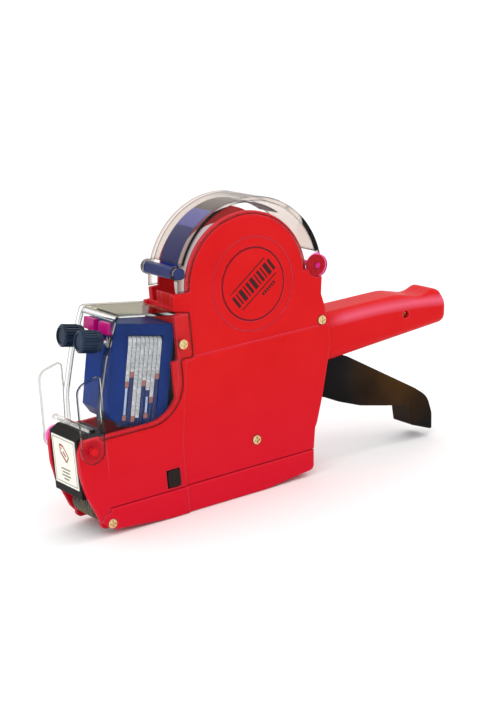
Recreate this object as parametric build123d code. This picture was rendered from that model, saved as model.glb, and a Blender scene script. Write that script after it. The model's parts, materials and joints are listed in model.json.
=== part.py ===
from build123d import *
from math import cos, radians, sin
import os

# Two-line hand price labeler.  Millimetres, +Z up, +X towards the handle, -X towards the label nose.
# The origin is the centre of the bounding box, on the surface the labeler rests on.  The half with
# negative Y is called near and the half with positive Y far.

# ---------------------------------------------------------------- driving dimensions
UPPER_HALF = 15.0          # half width of the body above the side ledge
LOWER_HALF = 16.0          # half width below the ledge
FLARE_HALF = 16.2          # half width where the hood overlaps the shells
FRONT_HALF = 17.0          # half width of the cheeks
LEDGE_Z = 80.5             # height of the side ledge
SEAM_Z = 14.5              # seam between the shells and the bottom cover
SEAM_GAP = 0.3
SHELL_WALL = 2.4
CHAMBER_HALF = 12.0        # half width of the roll chamber

DOME = (-12.0, 111.7)      # centre of the round side walls and of the roll
DOME_RIM_R = 37.0
DOME_FACE_R = 35.0
RIM_HALF = 13.6            # half width over the recessed rim
COVER = (-9.7, 111.8)      # centre of the clear cover's arch
COVER_R = 44.0
COVER_WALL = 2.0
COVER_HINGE = (32.0, 112.5)
COVER_HINGE_R = 6.0
COVER_BAR = (-53.0, 124.1)

LEAF_R = 38.75             # middle of the blue leaf over the roll
LEAF_HALF = 8.4
ROLL_R = 28.5
ROLL_HALF = 11.0
CORE_R = 14.0
CORE_BORE_R = 12.7

HANDLE_HALF = 12.0
HANDLE_ROUND = 4.5
TRIGGER_HALF = 9.0
TRIGGER_AXIS = (18.0, 50.0)
DRIVE_PIN = (2.0, 70.0)
HEAD_AXIS = (28.0, 75.0)

HEAD_ORIGIN = (-79.0, 78.5)
HEAD_TILT = 12.0           # the head leans back by this at rest and stands upright when it prints
HEAD_HALF = 13.0
BAND_COUNT = 8
BAND_PITCH = 2.45
BAND_WIDTH = 2.15
BAND_MIDDLE = 1.6          # the rows of bands sit a little behind the middle of the head
BAND_WALL = 0.8
BAND_LINE_Y = 9.2          # distance of each line of bands from the middle
BAND_HALF_LOOP = 3.7
BAND_TOP_V = 14.9
BAND_BOTTOM_V = -24.6
KNOB_R = 5.8
KNOB_FRONT_U = -34.2
KNOB_BACK_U = -22.3

WINDOW_CORNER_R = 20.0
NOSE_X = -119.8
APPLICATOR = (-105.5, 13.6)
APPLICATOR_R = 7.2
COVER_PIVOT = (-105.0, 6.3)
COVER_PIVOT_R = 6.0
COVER_PROUD = 0.25         # the bottom cover stands out from the shells by this
LATCH = (-67.6, 20.7)
LATCH_SIZE = (7.5, 9.0)
INK_PIVOT = (-109.0, 38.0)
INK_ROLLER = (-104.0, 48.5)
INK_ROLLER_R = 5.0
SHIELD_PIVOT = (-113.2, 46.9)
FEED_AXIS = (-50.0, 19.5)
SCREW_HEAD_R = 2.5
SCREW_R = 1.5
RUNNING = 0.05             # radial clearance of a running fit
LOOSE = 0.3                # clearance between faces that pass each other

BACK_SCREW = (32.0, 83.0)
BELLY_SCREW = (-15.5, 28.3)
HOOD_SCREW = (-56.1, 89.1)
HANDLE_SCREW = (90.3, 73.5)

parts = {}


# ---------------------------------------------------------------- shape helpers
def side_face(points, radius=0.0):
    """Closed outline of (x, z) points as a face in the XZ plane, with its corners rounded."""
    if radius == 0.0:
        line = Polyline(*points, close=True)
    else:
        line = FilletPolyline(*points, radius=radius, close=True)
    return Plane.XZ * make_face(line)


def slab(face, inner, outer):
    """Near-side plate between two distances from the middle plane."""
    return extrude(Pos(0, -inner, 0) * face, amount=outer - inner, dir=(0, -1, 0))


def soft_slab(face, inner, outer, rounding):
    """Near-side plate whose outer edge is rounded."""
    plate = slab(face, inner, outer)
    return fillet(plate.faces().sort_by(Axis.Y)[0].edges(), rounding)


def across(face, half):
    """Prism that spans the middle plane."""
    return extrude(face, amount=half, dir=(0, -1, 0), both=True)


def disc(centre, radius, inner, outer):
    """Near-side disc between two distances from the middle plane."""
    return Pos(centre[0], -(inner + outer) / 2, centre[1]) * Rot(90, 0, 0) * Cylinder(radius, outer - inner)


def rod(centre, radius, half):
    """Rod along Y that spans the middle plane."""
    return Pos(centre[0], 0, centre[1]) * Rot(90, 0, 0) * Cylinder(radius, 2 * half)


def block(x_low, x_high, y_low, y_high, z_low, z_high):
    """Box between two corners."""
    size = Box(x_high - x_low, y_high - y_low, z_high - z_low)
    return Pos((x_low + x_high) / 2, (y_low + y_high) / 2, (z_low + z_high) / 2) * size


def pair_block(x_low, x_high, inner, outer, z_low, z_high):
    """Near-side box between two distances from the middle plane."""
    return block(x_low, x_high, -outer, -inner, z_low, z_high)


def far(part):
    """Mirror image of a near-side part."""
    return mirror(part, about=Plane.XZ)


def both(part):
    """A near-side part together with its mirror image."""
    return part + far(part)


def polar(centre, radius, degrees):
    """Point at an angle from +X about a centre in the XZ plane."""
    return (centre[0] + radius * cos(radians(degrees)), centre[1] + radius * sin(radians(degrees)))


# ---------------------------------------------------------------- body shells
UPPER_OUTLINE = [
    (-58.0, 79.5), (-58.0, 103.0), (-57.0, 113.6), (-46.0, 113.6), (-45.0, 111.5), (27.0, 111.5),
    (34.5, 106.0), (33.2, 97.0), (35.0, 90.0), (35.0, 79.5),
]
LOWER_OUTLINE = [
    (-62.0, SEAM_Z), (-62.0, LEDGE_Z), (35.5, LEDGE_Z), (36.5, 70.0), (33.0, 58.0), (28.0, 40.5),
    (23.8, 28.5), (22.4, 26.0), (20.4, SEAM_Z),
]
FRONT_OUTLINE = [
    (-60.0, SEAM_Z), (-105.0, SEAM_Z), (-105.0, 9.0), (-111.4, 9.0), (-113.6, 14.6), (-117.7, 24.2),
    (NOSE_X, 35.0), (NOSE_X, 46.0), (-116.8, 52.3), (-59.0, 52.3), (-59.0, LEDGE_Z), (-53.0, LEDGE_Z),
    (-60.0, 36.0),
]
FRONT_RADII = [0, 0, 0, 0.8, 4, 14, 12, 6, 2, WINDOW_CORNER_R, 0, 0, 0]
HANDLE_OUTLINE = [
    (28.0, 57.6), (118.6, 63.9), (120.1, 75.0), (114.8, 84.4), (104.2, 80.4), (88.0, 84.8), (28.0, 84.8),
]
HANDLE_RADII = [0, 5.2, 9, 5.2, 14, 30, 0]
REAR_CAVITY = [
    (-130.0, -5.0), (-130.0, 78.2), (33.0, 78.2), (34.0, 70.0), (30.6, 58.6), (25.6, 41.2), (21.4, 29.4),
    (20.0, 26.6), (17.6, -5.0),
]
CHAMBER_CAVITY = [
    (-55.0, 77.0), (-55.0, 99.5), (-54.0, 150.0), (25.6, 150.0), (25.6, 109.6), (31.8, 104.8),
    (30.8, 97.0), (32.6, 90.0), (32.6, 77.0),
]
HANDLE_CAVITY = [
    (28.0, 60.0), (114.0, 66.4), (116.5, 75.0), (111.5, 80.4), (104.0, 77.8), (88.0, 82.2), (28.0, 82.2),
]


STEP_WALL = [(-55.6, 99.6), (-55.6, 106.0), (-54.9, 107.4), (-53.4, 107.4), (-53.4, 99.6)]


def ear_recess():
    """Flat on the cheek behind the nose shield's ear, deepest at the top and running out below."""
    outline = Polyline((-FRONT_HALF, 31.0), (-FRONT_HALF + 0.8, 53.0), (-FRONT_HALF - 1.0, 53.0), close=True)
    return extrude(Plane.YZ * Pos(0, 0, -125.0) * make_face(outline), amount=21.0)


def shell_half(screw_side):
    """Half of the body: side wall, rear wall, half of the chamber's step wall and half of the handle.

    The half on the screws' side has through bores with recesses for the heads.  The other half has
    pilot bores.
    """
    handle = soft_slab(side_face(HANDLE_OUTLINE, HANDLE_RADII), 0, HANDLE_HALF, HANDLE_ROUND)
    upper = soft_slab(side_face(UPPER_OUTLINE), 0, UPPER_HALF, 0.8)
    lower = soft_slab(side_face(LOWER_OUTLINE), 0, LOWER_HALF, 0.8)
    front = soft_slab(side_face(FRONT_OUTLINE, FRONT_RADII), 0, FRONT_HALF, 0.8)
    flare = pair_block(-58.0, -49.0, 10.0, FLARE_HALF, 79.0, 103.0)
    shell = upper + lower + front + flare + handle

    shell -= slab(side_face(REAR_CAVITY), -1, LOWER_HALF - SHELL_WALL)
    shell -= slab(side_face(CHAMBER_CAVITY), -1, CHAMBER_HALF)
    shell -= slab(side_face(HANDLE_CAVITY), -1, HANDLE_HALF - SHELL_WALL)
    shell -= pair_block(-130.0, -60.0, -1, 14.4, -5.0, 130.0)
    shell -= pair_block(-61.0, -50.0, -1, LOWER_HALF - SHELL_WALL, 20.0, 99.5)
    shell -= pair_block(20.0, 97.0, -1, TRIGGER_HALF + 0.6, 36.0, 68.0)
    shell -= pair_block(25.0, 40.0, -1, TRIGGER_HALF + 0.6, 60.0, 82.0)
    shell -= slab(side_face([(-105.0, -5.0), (-105.0, SEAM_Z), (30.0, SEAM_Z), (30.0, -5.0)]), -1, 20.0)
    shell -= pair_block(-61.0, -55.4, -1, CHAMBER_HALF, 104.0, 130.0)

    shell += soft_slab(Plane.XZ * Pos(*DOME) * Circle(DOME_FACE_R), CHAMBER_HALF, UPPER_HALF, 0.8)
    shell += disc(DOME, DOME_RIM_R, CHAMBER_HALF, RIM_HALF)
    shell += disc(COVER_HINGE, COVER_HINGE_R - 0.4, CHAMBER_HALF, RIM_HALF)
    shell += slab(side_face(STEP_WALL), 0, CHAMBER_HALF + 0.5)
    shell -= rod(COVER_PIVOT, COVER_PIVOT_R + SEAM_GAP, 20.0)
    shell -= ear_recess()
    shell += shell_bosses()
    return shell - shell_holes() - screw_bores(screw_side)


def shell_bosses():
    """Inner lugs and bosses of the near shell."""
    wall = LOWER_HALF - SHELL_WALL + 0.2
    lug = slab(side_face([(-110.0, 3.6), (-110.0, 21.0), (-101.3, 21.0), (-101.3, 3.6)], 2.5), 11.8, 14.0)
    lug += pair_block(-110.0, -101.3, 13.5, 15.0, 16.0, 21.0)
    bosses = lug
    bosses += disc(TRIGGER_AXIS, 5.5, 9.8, wall)
    bosses += disc(HEAD_AXIS, 4.2, 12.2, wall)
    bosses += disc(FEED_AXIS, 4.5, 11.0, wall)
    bosses += disc(BELLY_SCREW, 4.0, 0, wall)
    bosses += disc(BACK_SCREW, 3.2, 0, wall)
    bosses += disc(HANDLE_SCREW, 3.6, 0, HANDLE_HALF - 1.0)
    bosses += pair_block(-1.0, 11.0, 0, wall, 19.5, 21.5)
    return bosses


def shell_holes():
    """Recess of the badge, slot of the latch and every bore of the near shell."""
    holes = disc((-9.0, 110.5), 19.4, UPPER_HALF - 0.8, UPPER_HALF + 1)
    holes += pair_block(LATCH[0] - 4.1, LATCH[0] + 4.1, 10.0, 18.0, LATCH[1] - 4.9, LATCH[1] + 4.9)
    holes += disc(TRIGGER_AXIS, 3.0 + RUNNING, 0, 14.0)
    holes += disc(HEAD_AXIS, 2.5 + RUNNING, 0, 14.0)
    holes += disc(FEED_AXIS, 2.0 + RUNNING, 0, 14.0)
    holes += disc(COVER_PIVOT, SCREW_R + RUNNING, 10.0, 20.0)
    holes += disc(COVER_HINGE, 1.5 + RUNNING, 10.0, 20.0)
    holes += disc(COVER_HINGE, COVER_HINGE_R + LOOSE, RIM_HALF, 20.0)
    holes += disc(INK_PIVOT, 1.5 + RUNNING, 10.0, 15.6)
    holes += disc(APPLICATOR, 1.8 + RUNNING, 11.0, 15.6)
    holes += disc(HOOD_SCREW, 1.4 + RUNNING, 10.0, 20.0)
    holes += disc(SHIELD_PIVOT, 2.0 + RUNNING, 10.0, 20.0)
    return holes


def screw_bores(screw_side):
    """Bores for the three screws that hold the halves together."""
    bores = None
    for centre, seat, head_r in ((BELLY_SCREW, 15.2, SCREW_HEAD_R), (BACK_SCREW, 14.2, SCREW_HEAD_R),
                                 (HANDLE_SCREW, 8.0, 2.0)):
        if screw_side:
            bore = disc(centre, SCREW_R + RUNNING, -1, 20.0) + disc(centre, head_r + 0.2, seat, 20.0)
        else:
            bore = disc(centre, SCREW_R + RUNNING, -1, 10.5)
        bores = bore if bores is None else bores + bore
    return bores


parts["shell_near"] = shell_half(True)
parts["shell_far"] = far(shell_half(False)) - block(-61.0, -53.6, 4.0, 20.0, 107.4, 130.0)
parts["badge_near"] = disc((-9.0, 110.5), 19.0, UPPER_HALF - 0.8, UPPER_HALF + 0.2)
parts["badge_far"] = far(parts["badge_near"])


# ---------------------------------------------------------------- roll cover
def roll_cover():
    """Clear arch with two flanges that lap over the recessed rims, and two hinge ears."""
    arch_face = Plane.XZ * Pos(*COVER) * (Circle(COVER_R) - Circle(COVER_R - COVER_WALL))
    keep = [polar(COVER, 70, 11.4), COVER, polar(COVER, 70, 158.5), polar(COVER, 90, 90)]
    arch = across(arch_face, UPPER_HALF + 0.2) & across(side_face(keep), 30)
    flange_face = Plane.XZ * Pos(*COVER) * Circle(COVER_R)
    flange_face -= Plane.XZ * Pos(*DOME) * Circle(DOME_FACE_R + LOOSE)
    flange = slab(flange_face, RIM_HALF + 0.2, UPPER_HALF + 0.2) - block(-80, 25, -20, 20, 50, 112.0)
    flange -= block(-80, -44.4, -20, 20, 50, 114.1)
    flange -= block(24, 60, -20, 20, 50, 114.0)
    flange += disc(COVER_HINGE, COVER_HINGE_R, RIM_HALF + 0.2, UPPER_HALF + 0.2)
    flange += disc(COVER_BAR, 4.0, RIM_HALF + 0.2, UPPER_HALF + 0.2)
    flange -= disc(COVER_HINGE, 1.5 + RUNNING, 0, 20)
    flange -= disc(COVER_BAR, 2.8 + RUNNING, 0, 20)
    return arch + both(flange)


BAR_OUTLINE = [(-56.6, 121.6), (-51.5, 120.4), (-48.6, 120.8), (-48.2, 124.8), (-51.0, 126.6), (-55.0, 127.2)]


def cover_bar():
    """Blue bar across the front of the cover, with a round boss through each flange."""
    return across(side_face(BAR_OUTLINE, 1.1), RIM_HALF) + rod(COVER_BAR, 2.8, UPPER_HALF + 0.6)


def tension_band():
    """Thin blue leaf that springs from the bar and follows the arch, just outside a full roll."""
    leaf = Plane.XZ * Pos(*DOME) * (Circle(LEAF_R + 0.45) - Circle(LEAF_R - 0.45))
    keep = [DOME, polar(DOME, 80, 60), polar(DOME, 120, 110), polar(DOME, 60, 166)]
    return across(leaf, LEAF_HALF) & across(side_face(keep), 30) - across(side_face(BAR_OUTLINE, 1.1), RIM_HALF)


parts["roll_cover"] = roll_cover()
parts["cover_bar"] = cover_bar()
parts["tension_band"] = tension_band()
parts["roll_cover_pin"] = rod(COVER_HINGE, 1.5, UPPER_HALF + 0.2)


# ---------------------------------------------------------------- roll chamber
def roll_hub_near():
    """Cup that holds one end of the roll's core."""
    return disc(DOME, 16.0, 11.3, CHAMBER_HALF - 0.05) + disc(DOME, CORE_BORE_R - 0.2, 4.0, 11.5)


parts["roll_hub_near"] = roll_hub_near()
parts["roll_hub_far"] = far(parts["roll_hub_near"])
parts["roll_core"] = rod(DOME, CORE_R, ROLL_HALF) - rod(DOME, CORE_BORE_R, 20)
parts["label_roll"] = rod(DOME, ROLL_R, ROLL_HALF) - rod(DOME, CORE_R + 0.02, 20)


# ---------------------------------------------------------------- print head
head_place = Pos(HEAD_ORIGIN[0], 0, HEAD_ORIGIN[1]) * Rot(0, HEAD_TILT, 0)
BAND_ROW_HALF = BAND_COUNT * BAND_PITCH / 2


def print_head_case():
    """Navy case with a channel for the bands in each side, open below for the type."""
    outline = [(-17.0, -20.0), (-17.0, 24.5), (18.0, 24.5), (18.0, -25.0), (-12.0, -25.0)]
    case = soft_slab(side_face(outline), 0, HEAD_HALF, 0.7)
    loop_top = BAND_TOP_V + BAND_HALF_LOOP + 0.2
    case -= pair_block(BAND_MIDDLE - BAND_ROW_HALF - 0.2, BAND_MIDDLE + BAND_ROW_HALF + 0.2,
                       BAND_LINE_Y - BAND_HALF_LOOP - 0.2, 20, -30, loop_top)
    case = both(case)
    for side in (-1, 1):
        bore = Pos(0, side * BAND_LINE_Y, BAND_TOP_V) * Rot(0, 90, 0) * Cylinder(3.0 + RUNNING, 18)
        case -= Pos(-17.0, 0, 0) * bore
        case -= Pos(14.0, side * BAND_LINE_Y, BAND_TOP_V) * Rot(0, 90, 0) * Cylinder(1.4 + RUNNING, 12)
    return head_place * case


def band_position(index):
    """Middle of a band along the head."""
    return BAND_MIDDLE + (index - (BAND_COUNT - 1) / 2) * BAND_PITCH


def band_rows(shape):
    """Eight copies of a near-side shape, one per band."""
    return [Pos(band_position(index), 0, 0) * shape for index in range(BAND_COUNT)]


def type_bands_near():
    """Endless rubber bands, each in a narrow loop round its wheel and its guide."""
    height = BAND_TOP_V - BAND_BOTTOM_V + 2 * BAND_HALF_LOOP
    middle = (BAND_TOP_V + BAND_BOTTOM_V) / 2
    inner = BAND_HALF_LOOP - BAND_WALL
    ring = RectangleRounded(2 * BAND_HALF_LOOP, height, BAND_HALF_LOOP - 0.01)
    ring -= RectangleRounded(2 * inner, height - 2 * BAND_WALL, inner - 0.01)
    loop = extrude(Plane.YZ * Pos(-BAND_LINE_Y, middle) * ring, amount=BAND_WIDTH / 2, both=True)
    return Compound(children=[head_place * band for band in band_rows(loop)])


def band_wheels_near():
    """Eight toothed wheels that turn the bands."""
    wheel = Cylinder(2.8, BAND_WIDTH) - Cylinder(1.4 + RUNNING, BAND_WIDTH)
    wheel = Pos(0, -BAND_LINE_Y, BAND_TOP_V) * Rot(0, 90, 0) * wheel
    return Compound(children=[head_place * one for one in band_rows(wheel)])


def band_guide_near():
    """Bar inside the loops of bands, which backs up the type."""
    inner = BAND_HALF_LOOP - BAND_WALL - 0.1
    guide = pair_block(BAND_MIDDLE - BAND_ROW_HALF, BAND_MIDDLE + BAND_ROW_HALF,
                       BAND_LINE_Y - inner, BAND_LINE_Y + inner, BAND_BOTTOM_V, BAND_TOP_V - 4.5)
    return head_place * guide


def selector_shaft_near():
    """Steel shaft that picks a wheel as it slides."""
    shaft = Pos(0, -BAND_LINE_Y, BAND_TOP_V) * Rot(0, 90, 0) * Cylinder(1.4, 43.0)
    return head_place * Pos(-3.5, 0, 0) * shaft


def selector_bush_near():
    """Bush in the front wall that guides the shaft."""
    bush = Cylinder(3.0, 7.0) - Cylinder(1.4 + RUNNING, 7.0)
    return head_place * Pos(-13.5, -BAND_LINE_Y, BAND_TOP_V) * Rot(0, 90, 0) * bush


def selector_knob_near():
    """Ribbed knob on the shaft's front end."""
    length = KNOB_BACK_U - KNOB_FRONT_U
    knob = Cylinder(KNOB_R - 0.4, length)
    knob = chamfer(knob.edges(), 0.8)
    rib = Pos(KNOB_R - 0.45, 0, -1.2) * Box(0.9, 0.7, length - 4.0)
    for index in range(24):
        knob += Rot(0, 0, index * 15) * rib
    knob -= Pos(0, 0, -length / 2) * Cylinder(KNOB_R - 1.8, 1.2)
    knob -= Pos(0, 0, length / 2) * Cylinder(1.42, 10.0)
    middle = (KNOB_FRONT_U + KNOB_BACK_U) / 2
    return head_place * Pos(middle, -BAND_LINE_Y, BAND_TOP_V) * Rot(0, 90, 0) * knob


def pointer_window_near():
    """Magenta window on the front of the head, above a knob."""
    return head_place * pair_block(-19.8, -17.02, 2.6, 12.8, 18.4, 24.3)


def head_yoke():
    """Black lever: two arms from the rear axis to a plate behind the print head."""
    plate = head_place * block(18.3, 20.3, -11.6, 11.6, -20.0, 18.0)
    arm_outline = [
        (28.0, 79.4), (4.0, 76.0), (-12.0, 73.8), (-66.0, 72.0), (-66.0, 59.6), (-10.0, 63.6), (24.0, 70.9),
    ]
    arm_face = side_face(arm_outline)
    arm = slab(arm_face, 9.4, 11.6) + disc(HEAD_AXIS, 4.5, 9.4, 11.6)
    arm -= disc(HEAD_AXIS, 2.5 + RUNNING, 0, 20)
    slot_face = side_face([(5.0, 67.5), (5.0, 72.5), (-8.8, 72.7), (-8.8, 67.7)], 2.2)
    arm -= slab(slot_face, 0, 20)
    arm -= head_place * block(-30, 18.3, -20, 20, -40, 40)
    return plate + both(arm)


parts["print_head_case"] = print_head_case()
parts["type_bands_near"] = type_bands_near()
parts["type_bands_far"] = far(parts["type_bands_near"])
parts["band_wheels_near"] = band_wheels_near()
parts["band_wheels_far"] = far(parts["band_wheels_near"])
parts["band_guide_near"] = band_guide_near()
parts["band_guide_far"] = far(parts["band_guide_near"])
parts["selector_shaft_near"] = selector_shaft_near()
parts["selector_shaft_far"] = far(parts["selector_shaft_near"])
parts["selector_bush_near"] = selector_bush_near()
parts["selector_bush_far"] = far(parts["selector_bush_near"])
parts["selector_knob_near"] = selector_knob_near()
parts["selector_knob_far"] = far(parts["selector_knob_near"])
parts["pointer_windows"] = Compound(children=[pointer_window_near(), far(pointer_window_near())])
parts["head_yoke"] = head_yoke()
parts["head_pivot_shaft"] = rod(HEAD_AXIS, 2.5, 13.4)


# ---------------------------------------------------------------- clear hood and nose shield
HOOD_OUTLINE = [
    (-107.8, 50.6), (-106.8, 68.0), (-100.4, 91.0), (-92.0, 111.4), (-58.0, 106.2), (-50.2, 104.6),
    (-50.2, 81.2), (-57.4, 81.2), (-57.4, 50.6),
]
HOOD_RADII = [1, 30, 60, 3, 6, 1, 1, 1, WINDOW_CORNER_R + 1]
HOOD_INNER = [
    (-106.2, 40.0), (-105.2, 67.8), (-98.9, 90.4), (-91.0, 109.6), (-58.0, 104.6), (-40.0, 102.4),
    (-40.0, 40.0),
]
HOOD_INNER_RADII = [0, 30, 60, 2, 6, 0, 0]


def head_hood():
    """Clear box over the print head: top, two side walls and a front with a tall slot for the knobs."""
    hood = across(side_face(HOOD_OUTLINE, HOOD_RADII), 18.8)
    hood -= across(side_face(HOOD_INNER, HOOD_INNER_RADII), 17.2)
    hood -= block(-58.4, -40.0, -17.2, 17.2, 40, 120)
    hood -= block(-120.0, -89.0, -15.4, 15.4, 40, 108.0)
    hood -= block(-110.0, -100.0, -17.2, 17.2, 40, 52.8)
    hood -= rod(HOOD_SCREW, 1.4 + RUNNING, 30)
    return hood


def nose_shield():
    """Clear guard with an ear each side of the nose and a cross bar between them."""
    ear_face = side_face([(-119.3, 47.0), (-118.7, 81.0), (-105.2, 84.4), (-105.6, 60.0), (-106.7, 47.0)],
                         [0, 6, 2, 10, 0])
    ear = slab(ear_face, 19.2, 20.8) + disc(SHIELD_PIVOT, 6.6, 19.2, 20.8)
    ear += disc(SHIELD_PIVOT, 3.4, 20.5, 21.4)
    ear -= disc(SHIELD_PIVOT, 2.0 + RUNNING, 0, 30)
    bar = across(side_face([(-113.9, 55.9), (-113.9, 57.7), (-110.7, 57.7), (-110.7, 55.9)], 0.6), 19.6)
    return both(ear) + bar


parts["head_hood"] = head_hood()
parts["nose_shield"] = nose_shield()
shield_rivet = disc(SHIELD_PIVOT, 2.0, 14.6, 21.4)
parts["shield_pivots"] = Compound(children=[shield_rivet, far(shield_rivet)])


# ---------------------------------------------------------------- nose, platen and rollers
def nose_block():
    """Black block between the cheeks that guides the label out."""
    outline = [
        (-118.8, 21.5), (-118.8, 52.4), (-114.0, 55.0), (-112.4, 55.0), (-113.0, 53.0), (-114.8, 51.0),
        (-114.8, 21.5),
    ]
    return across(side_face(outline), 14.2)


def ink_arm():
    """Black fork that carries the ink roller."""
    face = side_face([(-112.0, 38.0), (-107.0, 48.5), (-104.0, 52.0), (-101.0, 48.5), (-106.0, 38.0)], 1.5)
    arm = slab(face, 10.4, 12.0) + disc(INK_PIVOT, 3.0, 10.4, 12.0)
    fork = both(arm) + rod(INK_PIVOT, 3.0, 10.6)
    fork -= rod(INK_PIVOT, 1.5 + RUNNING, 20)
    return fork - rod(INK_ROLLER, 1.2, 20)


def coil(radius, wire, pitch, height):
    """Helical spring standing on the origin along +Z."""
    path = Helix(pitch=pitch, height=height, radius=radius)
    return sweep(Plane(path @ 0, z_dir=path % 0) * Circle(wire), path=path)


def toothed_outline(centre, root_r, tip_r, count):
    """Saw-tooth outline of a ratchet wheel."""
    points = []
    for index in range(count):
        points.append(polar(centre, root_r, index * 360 / count))
        points.append(polar(centre, tip_r, (index + 0.85) * 360 / count))
    return points


def feed_wheel():
    """Sprocket that pulls the label strip."""
    wheel = rod(FEED_AXIS, 8.4, 7.0)
    for index in range(12):
        for side in (-4.5, 4.5):
            tooth = Pos(8.9, side, 0) * Box(2.0, 1.6, 1.4)
            wheel += Pos(FEED_AXIS[0], 0, FEED_AXIS[1]) * Rot(0, index * 30, 0) * tooth
    return wheel - rod(FEED_AXIS, 2.0 + RUNNING, 20)


def feed_lever():
    """Arm that swings with the trigger and carries the pawl."""
    tip = polar(FEED_AXIS, 27.5, 44.0)
    arm_face = side_face([polar(FEED_AXIS, 4.0, 134), polar(FEED_AXIS, 4.0, 314), polar(tip, 2.6, 314),
                          polar(tip, 2.6, 134)])
    arm = slab(arm_face, 8.8, 10.4) + disc(FEED_AXIS, 4.5, 8.8, 10.4) + disc(tip, 2.6, 8.8, 10.4)
    arm += disc(polar(FEED_AXIS, 15.0, 44.0), 1.0, 7.4, 8.9)
    return arm - rod(FEED_AXIS, 2.0 + RUNNING, 20)


def feed_pawl():
    """Small tooth that catches the ratchet wheel."""
    pin = polar(FEED_AXIS, 15.0, 44.0)
    tip = polar(FEED_AXIS, 10.3, 68.0)
    face = side_face([polar(pin, 2.2, 30), polar(pin, 2.2, 150), tip, polar(pin, 2.2, 250)])
    pawl = slab(face, 7.4, 8.6) + disc(pin, 2.2, 7.4, 8.6)
    return pawl - disc(pin, 1.0 + RUNNING, 5, 10)


parts["nose_block"] = nose_block()
parts["nose_plate"] = block(-119.2, -118.8, -12.0, 12.0, 25.9, 51.4)
parts["ink_arm"] = ink_arm()
parts["ink_roller"] = rod(INK_ROLLER, INK_ROLLER_R, 9.8) - rod(INK_ROLLER, 1.2 + RUNNING, 20)
parts["ink_roller_axle"] = rod(INK_ROLLER, 1.2, 12.0)
parts["ink_arm_pin"] = rod(INK_PIVOT, 1.5, 14.2)
ink_spring = Pos(INK_PIVOT[0], -12.5, INK_PIVOT[1]) * Rot(90, 0, 0) * coil(2.3, 0.3, 0.8, 1.2)
parts["ink_arm_spring"] = ink_spring
parts["platen"] = block(-96.0, -75.0, -12.2, 12.2, 21.0, 25.5) + block(-75.5, -62.5, -9.8, 9.8, 21.0, 25.5)
parts["platen"] += block(-92.0, -78.0, -14.3, 14.3, 21.0, 24.6)
parts["platen_pad"] = block(-94.0, -64.0, -11.4, 11.4, 25.5, 27.5)
parts["peel_plate"] = block(-106.5, -96.0, -11.0, 11.0, 23.4, 24.4)
parts["applicator_roller"] = rod(APPLICATOR, APPLICATOR_R, 10.6) - rod(APPLICATOR, 1.8 + RUNNING, 20)
parts["applicator_axle"] = rod(APPLICATOR, 1.8, 13.9)
parts["feed_wheel"] = feed_wheel()
ratchet_face = side_face(toothed_outline(FEED_AXIS, 8.0, 9.6, 12)) - Plane.XZ * Pos(*FEED_AXIS) * Circle(2.05)
parts["ratchet_wheel"] = slab(ratchet_face, 7.2, 8.5)
parts["feed_axle"] = rod(FEED_AXIS, 2.0, 13.4)
parts["feed_lever"] = feed_lever()
parts["feed_pawl"] = feed_pawl()


# ---------------------------------------------------------------- bottom cover and latches
BOTTOM_OUTLINE = [
    (-113.6, SEAM_Z - SEAM_GAP), (20.2, SEAM_Z - SEAM_GAP), (19.2, 3.4), (-12.0, 0.0), (-71.0, 0.0),
    (-104.0, 2.9), (-109.6, 6.8),
]
BOTTOM_RADII = [0, 0, 3, 0, 0, 6, 6]
BOTTOM_INNER = [
    (-101.0, 40.0), (17.8, 40.0), (16.9, 5.6), (-12.0, 2.2), (-71.0, 2.2), (-101.0, 4.9),
]


def bottom_cover():
    """Red tray that closes the body from below and swings down about its front screws."""
    face = side_face(BOTTOM_OUTLINE, BOTTOM_RADII)
    rear = soft_slab(face, 0, LOWER_HALF + COVER_PROUD, 0.8) & block(-60.5, 40, -30, 30, -5, 40)
    front = soft_slab(face, 0, FRONT_HALF + COVER_PROUD, 0.8) & block(-130, -60.0, -30, 30, -5, 40)
    front -= block(-130, -101.0, -14.4, 14.4, -5, 40)
    round_end = slab(Plane.XZ * Pos(*COVER_PIVOT) * Circle(COVER_PIVOT_R), -1, 30)
    front &= round_end + block(COVER_PIVOT[0], 0, -30, 30, -5, 40)
    front -= slab(side_face(BOTTOM_INNER), -1, 14.4)
    rear -= slab(side_face(BOTTOM_INNER), -1, LOWER_HALF - SHELL_WALL)
    half = front + rear
    half -= disc(COVER_PIVOT, SCREW_R + RUNNING, 0, 20)
    half -= disc(COVER_PIVOT, SCREW_HEAD_R + 0.2, 16.0, 20)
    tray = both(half)
    return tray - block(-38.0, -32.0, -10.0, 10.0, -5, 4)


def latch_button_near():
    """Black push button with a flange behind the wall and a tongue inside the bottom cover's wall."""
    half_x = LATCH_SIZE[0] / 2
    half_z = LATCH_SIZE[1] / 2
    button = pair_block(LATCH[0] - half_x, LATCH[0] + half_x, 14.0, 17.9,
                        LATCH[1] - half_z, LATCH[1] + half_z)
    button = fillet(button.edges().filter_by(Axis.Y), 1.8)
    button = fillet(button.faces().sort_by(Axis.Y)[0].edges(), 0.8)
    flange = pair_block(LATCH[0] - 5.5, LATCH[0] + 5.5, 12.8, 14.2, LATCH[1] - 6.6, LATCH[1] + 6.6)
    tongue = pair_block(LATCH[0] - 2.5, LATCH[0] + 2.5, 12.8, 14.1, 8.8, LATCH[1])
    return button + flange + tongue


parts["bottom_cover"] = bottom_cover()
parts["latch_button_near"] = latch_button_near()
parts["latch_button_far"] = far(parts["latch_button_near"])


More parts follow.
